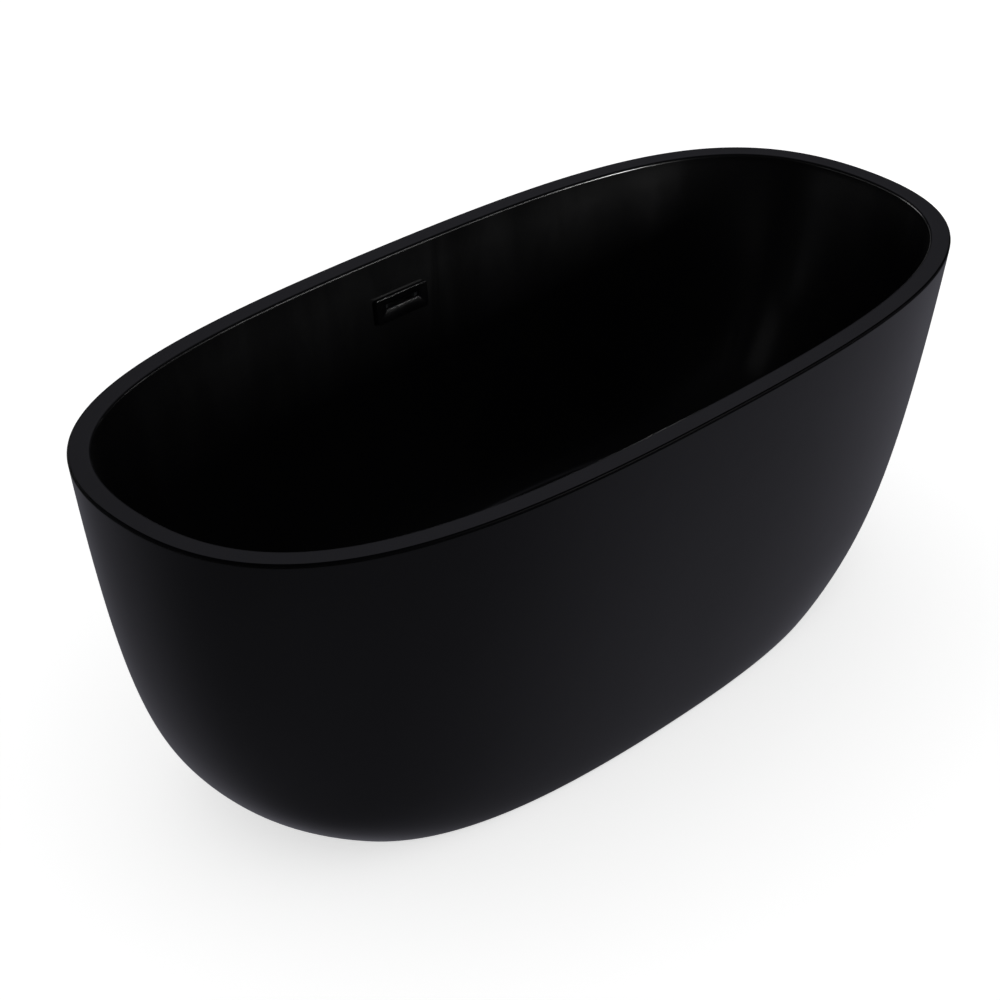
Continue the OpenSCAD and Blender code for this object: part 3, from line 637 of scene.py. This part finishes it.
# ---------------------------------------------------------------- levelling feet
FEET = [(-375, -140), (375, -140), (-375, 140), (375, 140)]
PITCH, THREAD_STEPS = 1.75, 6     # millimetres a turn, rings a turn


def thread(r, z0, z1):
    """A screw thread: rings whose radius follows the helix, tapered at both ends."""
    def at(z):
        def radius(a):
            phase = (z / PITCH - a / (2 * math.pi)) % 1
            deep = np.clip(np.abs(phase * 2 - 1) * 1.5 - 0.25, 0, 1) * 0.95
            return r - np.maximum(deep, max(0.0, 0.9 - min(z - z0, z1 - z) * 0.9))
        return radius
    return [(z, at(z)) for z in np.arange(z0, z1 + 1e-6, PITCH / THREAD_STEPS)]


PAD = [(0.01, 3), (24, 3), (24, 6), (20, 8), (13, 9), (11, 15), (6.25, 15), (6.25, 10.4), (0.01, 10.4)]
SOLE = [(0.01, 0.6), (5, 0.6), (5.4, 0), (10, 0), (10.4, 0.6), (13, 0.6), (13.4, 0), (18, 0),
        (18.4, 0.6), (21, 0.6), (21.4, 0), (23.8, 0), (25, 1), (25, 2.9), (24, 2.9), (0.01, 2.9)]
for i, (x, y) in enumerate(FEET, 1):
    at = shift(x, y)
    stud = [(*turned([(6.2, 7.4), (6.6, 8), (9.8, 8), (10.2, 7.4), (10.2, 5.9), (17, 5.9)], 48), at),
            (*turned(hex_levels(10, 17, 23), 72), at), (*turned(thread(6, 22.9, 96.2)), at)]
    dress(put_together(f"stud_{i}", stud, 40), "stud_steel", f"stud_{i}", f"foot_stud_{i}")
    pad = [(*turned(profile(PAD, 0.7, False), 72), at)]
    for k in range(12):
        rib = np.array([(11.2, -0.9, 8.6), (22.6, -0.9, 6.3), (22.6, 0.9, 6.3), (11.2, 0.9, 8.6),
                        (11.0, -0.6, 12.6), (21.8, -0.6, 7.3), (21.8, 0.6, 7.3), (11.0, 0.6, 12.6)])
        f = [(0, 3, 2, 1), (4, 5, 6, 7), (0, 1, 5, 4), (1, 2, 6, 5), (2, 3, 7, 6), (3, 0, 4, 7)]
        pad.append((rib, f, at @ turn("Z", 30 * k)))
    dress(put_together(f"pad_{i}", pad), "foot_plastic", f"foot_{i}", f"foot_pad_{i}")
    sole = [(*turned(profile(SOLE, 0.25, False), 72), at)]
    dress(put_together(f"sole_{i}", sole), "sole_rubber", f"foot_{i}", f"foot_sole_{i}")


def nut(z0, z1, top=True):
    return turned([(z0 + 0.5, 6.1), (z0, 6.7), *hex_levels(10.4, z0, z1, top, True),
                   (z1, 6.7), (z1 - 0.5, 6.1)], 72, True)


dress(put_together("welded_nuts", [(*nut(69, 79, top=False), shift(x, y)) for x, y in FEET]),
      "fasteners", TUB, "weld_nuts")
dress(put_together("locking_nuts", [(*nut(62.8, 68.8), shift(x, y)) for x, y in FEET]),
      "fasteners", TUB, "lock_nuts")


# ---------------------------------------------------------------- screws, bolts and welds
RAIL_Y, RAIL_Z, RAIL_LENGTH, BAR_LENGTH = 140, 94, 800, 249.8
TUBE_SIDE, TUBE_WALL, TUBE_RADIUS = 30.0, 2.0, 3.2
BAR_X = (-335, -120, 120, 335)
BRACKET_X, BRACKET_WIDTH = 200, 32.0


def socket_screw(head_r, head_h, shank_r, length, recess):
    """Pan head at z 0 up to head_h with a six-sided recess, shank down to -length."""
    n = [(-length, shank_r * 0.5), (-length + 0.8, shank_r), (0, shank_r), (0, head_r),
         (head_h * 0.35, head_r), (head_h * 0.7, head_r * 0.93), (head_h * 0.93, head_r * 0.75),
         (head_h, head_r * 0.58), (head_h, clipped(hexagon(recess), recess)),
         (head_h * 0.35, hexagon(recess))]
    return turned(n, 48)


def hex_bolt(circ, head_h, shank_r, length):
    return turned([(-length, shank_r * 0.5), (-length + 0.6, shank_r), (0, shank_r), (0, circ * 1.12),
                   (0.5, circ * 1.12), (0.55, circ * 0.9),
                   *hex_levels(circ, 0.55, head_h, bottom=False)], 72)


place = [shift(x, y, 79) @ turn("X", 180) for x in (-300, -160, 160, 300) for y in (-RAIL_Y, RAIL_Y)]
dress(put_together("board_screws", [(*socket_screw(5, 3, 2.15, 41.5, 2.2), m) for m in place]),
      "fasteners", TUB, "frame_screws")
place = [shift(x + dx, s * 158, RAIL_Z) @ turn("X", -90 * s)
         for x in (-BRACKET_X, BRACKET_X) for s in (-1, 1) for dx in (-8, 8)]
dress(put_together("bracket_bolt_set", [(*hex_bolt(4.4, 3.2, 2.45, 12), m) for m in place]),
      "fasteners", TUB, "bracket_bolts")
place = [shift(x, s * 236, 13) for x in (-BRACKET_X, BRACKET_X) for s in (-1, 1)]
dress(put_together("flange_screw_set", [(*socket_screw(4.5, 2.6, 1.95, 7.7, 1.9), m) for m in place]),
      "fasteners", TUB, "flange_screws")


def square_tube(length):
    """A square tube along X about the origin, open at both ends, without the CAD tube's holes."""
    h, side, wall, radius = length / 2, TUBE_SIDE, TUBE_WALL, TUBE_RADIUS
    rings = []
    for x, d in ((-h, 0.0), (-h + 0.4, 0.4), (h - 0.4, 0.4), (h, 0.0)):
        p = rounded_rect(side - 0.4 + d, side - 0.4 + d, radius)
        rings.append(np.column_stack([np.full(len(p), x), p]))
    for x in (h, -h):
        p = rounded_rect(side - 2 * wall, side - 2 * wall, radius - wall)
        rings.append(np.column_stack([np.full(len(p), x), p]))
    return np.concatenate(rings), band_faces(len(rings), len(rings[0]), True)


for name, y in (("front", -RAIL_Y), ("back", RAIL_Y)):
    dress(put_together(f"frame_rail_{name}", [(*square_tube(RAIL_LENGTH), shift(0, y, RAIL_Z))]),
          "frame_steel", TUB, f"rail_{name}")
for i, x in enumerate(BAR_X, 1):
    place = shift(x, 0, RAIL_Z) @ turn("Z", 90)
    dress(put_together(f"frame_bar_{i}", [(*square_tube(BAR_LENGTH), place)]),
          "frame_steel", TUB, f"cross_bar_{i}")


def angle_bracket():
    """Bent plate in the YZ plane: up the rail's side, round the bend and out over the flange."""
    bend, outer, inner = [], 4.5, 1.5
    line = rounded_profile([(155, 105), (155, 10), (248, 10), (248, 13), (158, 13), (158, 105)], 0.4)
    for y, z in line:
        if abs(y - 155) < 1 and abs(z - 10) < 1:
            bend += [(155 + outer + outer * math.cos(a), 10 + outer + outer * math.sin(a))
                     for a in np.radians(np.linspace(180, 270, 8))] if not bend or bend[-1][1] > 20 else []
        elif abs(y - 158) < 1 and abs(z - 13) < 1:
            bend += [(158 + inner - inner * math.cos(a), 13 + inner - inner * math.sin(a))
                     for a in np.radians(np.linspace(90, 0, 6))] if bend[-1][0] > 170 else []
        else:
            bend.append((y, z))
    p = np.array(bend)
    h = BRACKET_WIDTH / 2
    rings = [np.column_stack([np.full(len(p), x), p]) for x in (-h, h)]
    n = len(p)
    ends = [tuple(range(n))[::-1], tuple(n + i for i in range(n))]
    return np.concatenate(rings), band_faces(2, n, False) + ends


for i, (x, s) in enumerate([(x, s) for s in (-1, 1) for x in (-BRACKET_X, BRACKET_X)], 1):
    place = shift(x, 0) @ Matrix.Diagonal((1, s, 1, 1))
    dress(put_together(f"flange_bracket_{i}", [(*angle_bracket(), place)]),
          "bracket_steel", TUB, f"skirt_bracket_{i}")


def weld_bead(x, y, z0, z1, r):
    z = np.arange(z0, z1 + 0.01, 0.5)
    taper = np.minimum(1, 0.35 + np.minimum(z - z0, z1 - z) * 0.4)
    wave = r * (0.86 + 0.14 * np.abs(np.sin(z * 1.25 + x + y))) * taper
    return tube_along(np.column_stack([np.full(len(z), x), np.full(len(z), y), z]), wave, 12)


beads = [(*weld_bead(x + sx * 15.2, sy * 124.8, 80, 108, 2.3), None)
         for x in BAR_X for sx in (-1, 1) for sy in (-1, 1)]
weld = put_together("weld_beads", beads, 50)
weld.data.materials.append(WELD)
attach(weld, TUB)


# ---------------------------------------------------------------- outlet nut
def ribbed(r, deep, count):
    """Radius of a grip ring with narrow rounded ribs."""
    return lambda a: r - deep * (1 - np.clip(1.6 * np.cos(count * a) - 0.2, 0, 1))


NUT = [(34, 31), (34.6, 31.8), (35.4, ribbed(32.4, 1.5, 24)), (36.5, ribbed(33, 2.2, 24)),
       (46.5, ribbed(33, 2.2, 24)), (48.2, ribbed(32.2, 1.4, 24)), (49.4, 30.6), (50, 29.8),
       (50, 28.2), (43.2, 28), (43, 25), (43, 19.8), (36, 19.7), (34.4, 20), (34, 20.6)]
dress(put_together("outlet_collar_nut", [(*turned(NUT, 192, True), None)], 28),
      "pipe_plastic", TUB, "outlet_nut")


# ---------------------------------------------------------------- overflow hose
HOSE_R, HOSE_BEND, HOSE_TILT, INLET_Z, HOSE_END = 8.5, 50.0, math.radians(8.6), 60.0, 32.0
hose_top = np.array([0, WALL_Y + 13.4, 472.0])
hose_run = (hose_top[2] - INLET_Z - HOSE_BEND * (1 - math.sin(HOSE_TILT))) / math.cos(HOSE_TILT)
hose_down = np.array([0, -math.sin(HOSE_TILT), -math.cos(HOSE_TILT)])
hose_knee = hose_top + hose_run * hose_down
bend_y = hose_knee[1] - HOSE_BEND * math.cos(HOSE_TILT)
STEP = 0.7
route = [hose_top + s * hose_down for s in np.arange(0, hose_run, STEP)]
for a in np.arange(0, math.pi / 2 - HOSE_TILT, STEP / HOSE_BEND):
    b = a + HOSE_TILT
    route.append(np.array([0, bend_y + HOSE_BEND * math.cos(b),
                           INLET_Z + HOSE_BEND * (1 - math.sin(b))]))
route += [np.array([0, y, INLET_Z]) for y in np.arange(bend_y, HOSE_END, -STEP)]
route = np.array(route)
along = np.concatenate([[0], np.cumsum(np.linalg.norm(np.diff(route, axis=0), axis=1))])
cuff = np.clip((np.minimum(along, along[-1] - along) - 24) / 6, 0, 1)
wave = 0.5 + 0.5 * np.cos(2 * math.pi * along / 4.2)
hose_radii = HOSE_R - 0.05 + cuff * (0.45 * wave ** 0.6 - 0.65 * (1 - wave))
dress(put_together("overflow_hose_tube", [(*tube_along(route, hose_radii, 28), None)], 60),
      "hose_plastic", TUB, "overflow_hose")


# ---------------------------------------------------------------- hose clamps
def clamp_parts(place):
    """Worm-drive clamp about local Z, 9 mm long: slotted band, housing, screw with a hex head."""
    def band_r(z):
        def r(a):
            tooth = (np.sin(a * 22 + 0.4) > 0.25) & (np.abs(np.sin(a / 2 - math.pi / 4)) > 0.35)
            return HOSE_R + 0.8 - 0.3 * (tooth & (abs(z - 4.5) < 2.6))
        return r
    levels = [(0, HOSE_R + 0.55), (0.25, HOSE_R + 0.8), (1.8, HOSE_R + 0.8), (2.0, band_r(2.0)),
              (7.0, band_r(7.0)), (7.2, HOSE_R + 0.8), (8.75, HOSE_R + 0.8), (9, HOSE_R + 0.55),
              (9, HOSE_R), (0, HOSE_R)]
    box = rounded_rect(10, 8, 1.1)
    grow = ((HOSE_R - 0.6, 1), (HOSE_R + 3.1, 1), (HOSE_R + 3.7, 0.94), (HOSE_R + 3.95, 0.84))
    rows = [np.column_stack([box[:, 0] * g, np.full(len(box), y), box[:, 1] * g + 4.5])
            for y, g in grow]
    n = len(box)
    ends = [tuple(range(n)), tuple(3 * n + i for i in range(n))[::-1]]
    body = band_faces(4, n, False)
    housing = [q[::-1] for q in body] + [e[::-1] for e in ends]
    hexed = hexagon(2.6, 0.1)
    head = turned([(0, 1.4), (0.1, hexed), (2.2, hexed), (2.6, 2.1), (2.6, 0.9)], 36)
    worm = turned([(2.4, 1.5), (3, 1.9), (14, 1.9), (14.4, 1.4)], 24)
    screw = shift(-8, HOSE_R + 2.4, 4.5) @ turn("Y", 90)
    return [(*turned(levels, 176, True), place), (np.concatenate(rows), housing, place),
            (*head, place @ screw), (*worm, place @ screw)]


top_clamp = Matrix.Translation(Vector(hose_top)) @ turn("X", -8.6) @ shift(0, 0, -12) @ turn("Z", 90)
dress(put_together("clamp_top", clamp_parts(top_clamp), 30), "clamp_steel", TUB, "hose_clamp_top")
low_clamp = shift(0, 44, INLET_Z) @ turn("X", -90)
dress(put_together("clamp_bottom", clamp_parts(low_clamp), 30), "clamp_steel", TUB, "hose_clamp_bottom")


# ---------------------------------------------------------------- CAD nodes that stay
def finish_node(name, slot, bevel):
    """Gives a CAD node that stays its material and, if asked, rounded edges; bevel in mm."""
    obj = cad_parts[name]
    obj.data.materials.clear()
    obj.data.materials.append(LOOKS[slot])
    if bevel:
        weld_mod = obj.modifiers.new("weld", "WELD")
        weld_mod.merge_threshold = 0.00001
        edge = obj.modifiers.new("edge", "BEVEL")
        edge.width, edge.segments, edge.limit_method = bevel * MM, 2, "ANGLE"
        edge.angle_limit = math.radians(35)


for name, slot, bevel in [
        ("base_board", "board", 0.6),
        ("flange_seal", "seal_rubber", 0), ("under_seal", "seal_rubber", 0.3),
        ("outlet_washer", "seal_rubber", 0.2), ("overflow_seal", "seal_rubber", 0),
        ("drain_body", "pipe_plastic", 0.5), ("outlet_pipe", "outlet_metal", 0.3),
        ("plug_stem", "stem_steel", 0.2), ("plug_spring", "stem_steel", 0),
        ("plug_barrel", "barrel_brass", 0.25), ("overflow_screws", "fasteners", 0.2),
        ("overflow_core", "pipe_plastic", 0.3), ("overflow_body", "pipe_plastic", 0.5)]:
    finish_node(name, slot, bevel)


# ---------------------------------------------------------------- floor
def make_floor():
    """A pale floor that is seen only from above, so views from below see the tub's underside."""
    r = FLOOR_REACH
    corners = [(-r, -r, 0), (r, -r, 0), (r, r, 0), (-r, r, 0)]
    obj = add_mesh("studio_floor", corners, [(0, 1, 2, 3)], scale=1)
    mat = bpy.data.materials.new("studio_floor")
    mat.use_nodes = True
    nt = mat.node_tree
    nt.nodes.clear()
    out = nt.nodes.new("ShaderNodeOutputMaterial")
    diffuse = nt.nodes.new("ShaderNodeBsdfDiffuse")
    diffuse.inputs["Color"].default_value = (0.8, 0.8, 0.8, 1)
    glow = nt.nodes.new("ShaderNodeEmission")
    glow.inputs["Strength"].default_value = FLOOR_GLOW
    both = nt.nodes.new("ShaderNodeAddShader")
    nt.links.new(diffuse.outputs[0], both.inputs[0])
    nt.links.new(glow.outputs[0], both.inputs[1])
    clear = nt.nodes.new("ShaderNodeBsdfTransparent")
    side = nt.nodes.new("ShaderNodeNewGeometry").outputs["Backfacing"]
    one_sided = nt.nodes.new("ShaderNodeMixShader")
    for socket, value in zip(one_sided.inputs, (side, both.outputs[0], clear.outputs[0])):
        nt.links.new(value, socket)
    nt.links.new(one_sided.outputs[0], out.inputs["Surface"])
    obj.data.materials.append(mat)
    obj.visible_glossy = False


FLOOR_GLOW, FLOOR_REACH = 0.62, 14.0
make_floor()


# ---------------------------------------------------------------- studio surroundings
def make_world():
    """White to the camera, soft to matt surfaces, and to glossy ones dim above and pale below."""
    world = bpy.data.worlds.new("studio")
    bpy.context.scene.world = world
    world.use_nodes = True
    nt = world.node_tree
    nt.nodes.clear()

    def node(kind, settings=(), *values):
        n = nt.nodes.new("ShaderNode" + kind)
        for key, value in dict(settings).items():
            setattr(n, key, value)
        for socket, value in zip(n.inputs, values):
            if hasattr(value, "is_output"):
                nt.links.new(value, socket)
            elif value is not None:
                socket.default_value = value
        return n.outputs[0]

    def math_node(op, *values):
        return node("Math", {"operation": op}, *values)

    def toward(az, el):
        a, e = math.radians(az), math.radians(el)
        aim = (math.cos(e) * math.cos(a), math.cos(e) * math.sin(a), math.sin(e))
        n = nt.nodes.new("ShaderNodeVectorMath")
        n.operation = "DOT_PRODUCT"
        nt.links.new(ray, n.inputs[0])
        n.inputs[1].default_value = aim
        return n.outputs["Value"]

    def lobe(az, el, width, peak):
        """A soft patch of light around one direction, its half-width in degrees."""
        inner, outer = math.cos(math.radians(width * 0.15)), math.cos(math.radians(width * 1.6))
        n = nt.nodes.new("ShaderNodeMapRange")
        n.interpolation_type = "SMOOTHSTEP"
        for i, v in enumerate((toward(az, el), outer, inner, 0.0, peak)):
            if i:
                n.inputs[i].default_value = v
            else:
                nt.links.new(v, n.inputs[0])
        return n.outputs[0]

    def add(*values):
        total = values[0]
        for v in values[1:]:
            total = math_node("ADD", total, v)
        return total

    ray = nt.nodes.new("ShaderNodeTexCoord").outputs["Generated"]
    split = nt.nodes.new("ShaderNodeSeparateXYZ")
    nt.links.new(ray, split.inputs[0])
    below = nt.nodes.new("ShaderNodeMapRange")
    below.interpolation_type = "SMOOTHSTEP"
    nt.links.new(split.outputs["Z"], below.inputs[0])
    for i, v in zip((1, 2, 3, 4), (0.06, -0.06, 0.0, 1.0)):
        below.inputs[i].default_value = v
    ground = math_node("MULTIPLY", below.outputs[0], add(GROUND, *[lobe(*x) for x in GROUND_LOBES]))
    sky = add(SKY, *[lobe(*x) for x in SKY_LOBES])
    level = math_node("ADD", ground, sky)
    tint = nt.nodes.new("ShaderNodeCombineColor")
    for i, k in enumerate((0.96, 0.95, 1.1)):
        nt.links.new(math_node("MULTIPLY", level, k), tint.inputs[i])
    path = nt.nodes.new("ShaderNodeLightPath")
    glossy = node("Background", (), tint.outputs[0], 1.0)
    matt = node("Background", (), (1, 1, 1, 1), MATT_SKY)
    white = node("Background", (), (1, 1, 1, 1), 1.0)
    seen = node("MixShader", (), path.outputs["Is Glossy Ray"], matt, glossy)
    out = nt.nodes.new("ShaderNodeOutputWorld")
    shown = node("MixShader", (), path.outputs["Is Camera Ray"], seen, white)
    nt.links.new(shown, out.inputs["Surface"])


MATT_SKY, GROUND, SKY = 0.6, 0.03, 0.01
GROUND_LOBES = [(20, -30, 41, 0.2), (78, -38, 33, 0.11), (0, -90, 34, 0.08), (-95, -62, 30, 0.022),
                (5, -78, 25, -0.09), (45, -32, 18, -0.12)]
SKY_LOBES = [(42, 46, 22, 0.17)]
make_world()


def soft_light(name, where, aim, size, power, size_y=None):
    data = bpy.data.lights.new(name, "AREA")
    data.shape, data.size, data.size_y = "RECTANGLE", size, size_y or size
    data.energy, data.spread = power, math.pi
    obj = bpy.data.objects.new(name, data)
    bpy.context.scene.collection.objects.link(obj)
    obj.location = where
    obj.rotation_euler = (Vector(aim) - Vector(where)).to_track_quat("-Z", "Y").to_euler()
    return obj


def collection(name, *objects):
    """A group of pieces that some softboxes light and no others do."""
    group = bpy.data.collections.new(name)
    for obj in objects:
        group.objects.link(obj if isinstance(obj, bpy.types.Object) else bpy.data.objects[obj])
    return group


inside = collection("lit_inside", basin, "overflow_plate", "drain_ring", "plug_dome")
cover_only = collection("lit_cover", "overflow_plate")


PANEL_AWAY, PANEL_AIM = 3.2, Vector((0.25, 0.0, 0.5))


def panel(name, az, el, width, height, radiance, lit=None):
    """A softbox that only glossy surfaces, or only those of a collection, see."""
    a, e = math.radians(az), math.radians(el)
    toward = Vector((math.cos(e) * math.cos(a), math.cos(e) * math.sin(a), math.sin(e)))
    power = radiance * math.pi * width * height
    obj = soft_light(name, PANEL_AIM + PANEL_AWAY * toward, PANEL_AIM, width, power, height)
    obj.visible_camera = obj.visible_diffuse = obj.visible_transmission = False
    if lit:
        obj.light_linking.receiver_collection = lit


panel("front_right", -66, 10, 0.5, 0.6, 70, inside)
panel("front_far", -28, 9, 0.5, 0.4, 3, inside)
panel("back_left", 140, 8, 3.2, 0.5, 1.0)
panel("back_middle", 97, 8, 1.6, 0.5, 5, inside)
panel("cover_edge", -50, 28, 0.5, 0.8, 4, cover_only)
panel("cover_slot", -23, 49, 0.8, 0.7, 2.0, cover_only)
panel("left_high", 177, 24, 0.9, 1.1, 0.09)
for k, (az, power) in enumerate(((-92, 0.05), (-101, 0.09), (-112, 0.06), (-121, 0.09), (-133, 0.06),
                                 (-146, 0.1), (-158, 0.06))):
    panel(f"strip_{k + 1}", az, 22, 0.09, 2.0, power)


# ---------------------------------------------------------------- camera
def make_camera():
    data = bpy.data.cameras.new("camera")
    data.lens, data.sensor_width = 82.17, 36.0
    data.clip_start, data.clip_end = 0.05, 60
    obj = bpy.data.objects.new("camera", data)
    bpy.context.scene.collection.objects.link(obj)
    ahead, up = Vector((0.5942, 0.6030, -0.5324)), Vector((0.3734, 0.3795, 0.8465))
    right = ahead.cross(up).normalized()
    up = right.cross(ahead)
    turned_to = Matrix((right, up, -ahead.normalized())).transposed().to_4x4()
    obj.matrix_world = Matrix.Translation((-2.0752, -2.0138, 2.0982)) @ turned_to
    bpy.context.scene.camera = obj


make_camera()
bpy.context.scene.view_settings.view_transform = "Standard"
